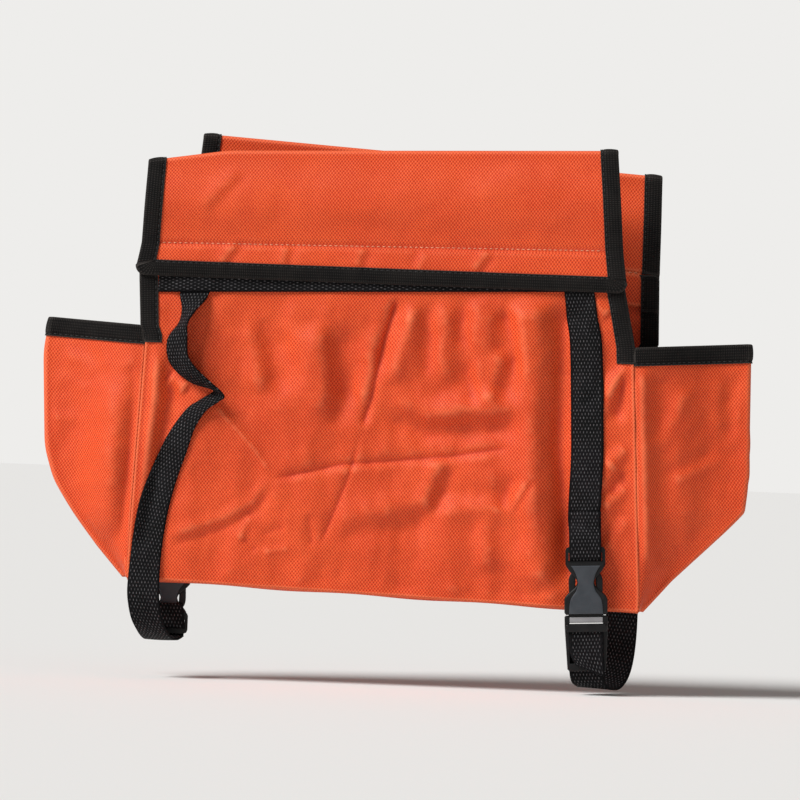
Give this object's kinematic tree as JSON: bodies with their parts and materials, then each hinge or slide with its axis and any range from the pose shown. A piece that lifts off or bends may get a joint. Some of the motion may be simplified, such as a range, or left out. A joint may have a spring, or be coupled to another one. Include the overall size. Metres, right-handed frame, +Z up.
{
  "type": "electrician tool pouch",
  "caption": "Open-topped cloth pouch with folded sleeve tops, bound edges, outward side gussets and webbing straps with side-release buckles.",
  "frame": {"origin": "middle of the bottom panel's underside", "axes": "+Z up, front wall faces -Y, +X to the right as seen from in front"},
  "size_m": [0.5555, 0.0753, 0.4261],
  "materials": {
    "orange_cloth": "coated Oxford weave, soft sheen",
    "black_binding": "ribbed binding tape, matte",
    "black_webbing": "coarse polypropylene webbing, satin flecks",
    "black_plastic": "fine textured moulded acetal"
  },
  "bodies": {
    "pouch": {"rear_panel": "orange_cloth", "rear_band": "orange_cloth", "rear_left_band_binding": "black_binding", "rear_right_band_binding": "black_binding", "rear_left_side_binding": "black_binding", "rear_right_side_binding": "black_binding", "rear_top_tape": "black_webbing", "bottom_panel": "orange_cloth", "left_gusset": "orange_cloth", "right_gusset": "orange_cloth", "left_gusset_binding": "black_binding", "right_gusset_binding": "black_binding", "right_rear_strap": "black_webbing", "left_rear_strap": "black_webbing", "left_socket": "black_plastic"},
    "front": {"front_panel": "orange_cloth", "front_band": "orange_cloth", "front_left_band_binding": "black_binding", "front_right_band_binding": "black_binding", "front_left_side_binding": "black_binding", "front_right_side_binding": "black_binding", "front_top_tape": "black_webbing", "right_front_strap": "black_webbing", "left_front_strap": "black_webbing", "right_plug": "black_plastic"},
    "front_hem": {"front_hem": "orange_cloth", "front_hem_binding": "black_binding"},
    "rear_hem": {"rear_hem": "orange_cloth", "rear_hem_binding": "black_binding"},
    "right_socket": {"right_socket": "black_plastic"},
    "right_left_arm": {"right_plug_left_arm": "black_plastic"},
    "right_right_arm": {"right_plug_right_arm": "black_plastic"},
    "left_plug": {"left_plug": "black_plastic"},
    "left_left_arm": {"left_plug_left_arm": "black_plastic"},
    "left_right_arm": {"left_plug_right_arm": "black_plastic"}
  },
  "joints": [
    {"name": "front_opening", "type": "hinge", "parent": "pouch", "child": "front", "pos_m": [0, -0.02, 0], "axis": [0.9996, 0, -0.03], "range_deg": [-4, 12], "stiffness_Nm_per_rad": 4, "deforming": ["right_rear_strap", "left_front_strap"]},
    {"name": "front_hem_lift", "type": "hinge", "parent": "front", "child": "front_hem", "pos_m": [-0.198, -0.0321, 0.269], "axis": [-0.9998, -0.0005, -0.0188], "range_deg": [0, 60], "stiffness_Nm_per_rad": 0.05},
    {"name": "rear_hem_lift", "type": "hinge", "parent": "pouch", "child": "rear_hem", "pos_m": [-0.162, 0.03177, 0.281], "axis": [0.9983, 0.0015, -0.0576], "range_deg": [0, 60], "stiffness_Nm_per_rad": 0.05},
    {"name": "right_release", "type": "slide", "parent": "front", "child": "right_socket", "axis": [-0.0506, 0, 0.9987], "range_m": [0, 0.036], "deforming": ["right_front_strap"]},
    {"name": "right_left_arm_squeeze", "type": "hinge", "parent": "front", "child": "right_left_arm", "pos_m": [0.14703, -0.0315, -0.00193], "axis": [0, 1, 0], "range_deg": [0, 16.75]},
    {"name": "right_right_arm_squeeze", "type": "hinge", "parent": "front", "child": "right_right_arm", "pos_m": [0.16741, -0.0315, -0.00089], "axis": [0, -1, 0], "range_deg": [0, 16.75]},
    {"name": "left_release", "type": "slide", "parent": "pouch", "child": "left_plug", "axis": [0, 0, 1], "range_m": [0, 0.036], "deforming": ["left_rear_strap"]},
    {"name": "left_left_arm_squeeze", "type": "hinge", "parent": "left_plug", "child": "left_left_arm", "pos_m": [-0.1598, 0.031, 0.0075], "axis": [0, 1, 0], "range_deg": [0, 16.75]},
    {"name": "left_right_arm_squeeze", "type": "hinge", "parent": "left_plug", "child": "left_right_arm", "pos_m": [-0.1802, 0.031, 0.0075], "axis": [0, -1, 0], "range_deg": [0, 16.75]}
  ],
  "couplings": [
    {"joint": "right_left_arm_squeeze", "follows": "right_release", "rad_per_m": 8.1},
    {"joint": "right_right_arm_squeeze", "follows": "right_release", "rad_per_m": 8.1},
    {"joint": "left_left_arm_squeeze", "follows": "left_release", "rad_per_m": 8.1},
    {"joint": "left_right_arm_squeeze", "follows": "left_release", "rad_per_m": 8.1}
  ]
}
